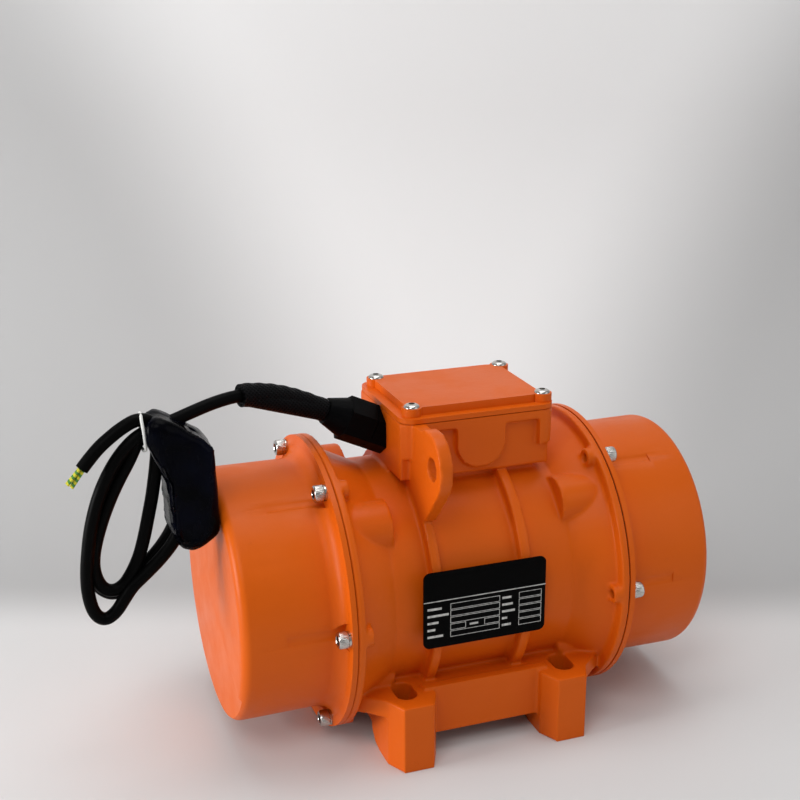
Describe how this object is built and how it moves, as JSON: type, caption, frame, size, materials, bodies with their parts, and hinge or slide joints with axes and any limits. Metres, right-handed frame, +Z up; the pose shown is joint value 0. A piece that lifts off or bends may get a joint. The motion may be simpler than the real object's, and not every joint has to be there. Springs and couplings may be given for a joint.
{
  "type": "vibration motor",
  "caption": "Foot-mounted electric vibration motor with a ribbed round body, end covers over eccentric weights, a top terminal box and a coiled cable.",
  "frame": {"origin": "on the floor below the middle of the motor, between the four feet", "axes": "+X along the shaft to the end away from the cable, -Y is the front with the nameplate, +Z up to the terminal box"},
  "size_m": [0.3977, 0.184, 0.2289],
  "materials": {
    "block_plastic": "matt",
    "bright_fasteners": "bright zinc",
    "cable_rubber": "satin",
    "cage_brass": "satin",
    "cast_aluminium": "as cast",
    "cast_iron": "as cast",
    "copper_wire": "enamelled",
    "core_insulation": "satin",
    "dark_film": "glossy",
    "gland_plastic": "matt",
    "ground_steel": "ground",
    "lamination_steel": "satin",
    "orange_paint": "semi-gloss",
    "plate_print": "satin print",
    "seal_rubber": "matt",
    "terminal_brass": "satin",
    "weight_steel": "machined",
    "white_tie": "matt"
  },
  "bodies": {
    "motor_body": {"cable_cores": "core_insulation", "cable_hank": "cable_rubber", "cable_sleeve": "cable_rubber", "cable_tail": "cable_rubber", "earth_screw": "bright_fasteners", "gland_body": "gland_plastic", "gland_locknut": "gland_plastic", "gland_nut": "gland_plastic", "gland_seal": "seal_rubber", "hank_tie": "white_tie", "hank_wrap": "dark_film", "left_bearing_flange": "cast_iron", "left_bearing_flange_bolts": "bright_fasteners", "left_bearing_outer_race": "ground_steel", "left_cover_screws": "bright_fasteners", "left_cover_seal": "seal_rubber", "left_cover_washers": "bright_fasteners", "left_grease_cap": "cast_iron", "left_weight_cover": "orange_paint", "lid_screws": "bright_fasteners", "motor_housing": "orange_paint", "nameplate": "plate_print", "power_cable": "cable_rubber", "right_bearing_flange": "cast_iron", "right_bearing_flange_bolts": "bright_fasteners", "right_bearing_outer_race": "ground_steel", "right_cover_screws": "bright_fasteners", "right_cover_seal": "seal_rubber", "right_cover_washers": "bright_fasteners", "right_grease_cap": "cast_iron", "right_weight_cover": "orange_paint", "stator_core": "lamination_steel", "stator_windings": "copper_wire", "terminal_block": "block_plastic", "terminal_box_gasket": "seal_rubber", "terminal_box_lid": "orange_paint", "terminal_links": "terminal_brass", "terminal_nuts": "terminal_brass", "terminal_studs": "terminal_brass"},
    "rotor": {"shaft": "ground_steel", "rotor_core": "lamination_steel", "rotor_cage": "cast_aluminium", "left_bearing_inner_race": "ground_steel", "left_shaft_key": "ground_steel", "left_circlip": "ground_steel", "left_fixed_weight": "weight_steel", "left_fixed_weight_bolt": "bright_fasteners", "right_bearing_inner_race": "ground_steel", "right_shaft_key": "ground_steel", "right_circlip": "ground_steel", "right_fixed_weight": "weight_steel", "right_fixed_weight_bolt": "bright_fasteners"},
    "left_roller_set": {"left_bearing_rollers": "ground_steel", "left_bearing_cage": "cage_brass"},
    "left_adjustable_weights": {"left_adjustable_weight": "weight_steel", "left_adjustable_weight_bolt": "bright_fasteners"},
    "right_roller_set": {"right_bearing_rollers": "ground_steel", "right_bearing_cage": "cage_brass"},
    "right_adjustable_weights": {"right_adjustable_weight": "weight_steel", "right_adjustable_weight_bolt": "bright_fasteners"}
  },
  "joints": [
    {"name": "rotor_spin", "type": "hinge", "parent": "motor_body", "child": "rotor", "pos_m": [0, 0, 0.093], "axis": [1, 0, 0], "continuous": true},
    {"name": "left_roller_orbit", "type": "hinge", "parent": "motor_body", "child": "left_roller_set", "pos_m": [-0.0685, 0, 0.093], "axis": [1, 0, 0], "continuous": true},
    {"name": "right_roller_orbit", "type": "hinge", "parent": "motor_body", "child": "right_roller_set", "pos_m": [0.0685, 0, 0.093], "axis": [1, 0, 0], "continuous": true},
    {"name": "left_weight_setting", "type": "hinge", "parent": "rotor", "child": "left_adjustable_weights", "pos_m": [-0.1255, 0, 0.093], "axis": [1, 0, 0], "range_deg": [0, 180]},
    {"name": "right_weight_setting", "type": "hinge", "parent": "rotor", "child": "right_adjustable_weights", "pos_m": [0.1255, 0, 0.093], "axis": [1, 0, 0], "range_deg": [0, 180]}
  ],
  "couplings": [
    {"joint": "left_roller_orbit", "follows": "rotor_spin", "ratio": 0.3908},
    {"joint": "right_roller_orbit", "follows": "rotor_spin", "ratio": 0.3908}
  ]
}
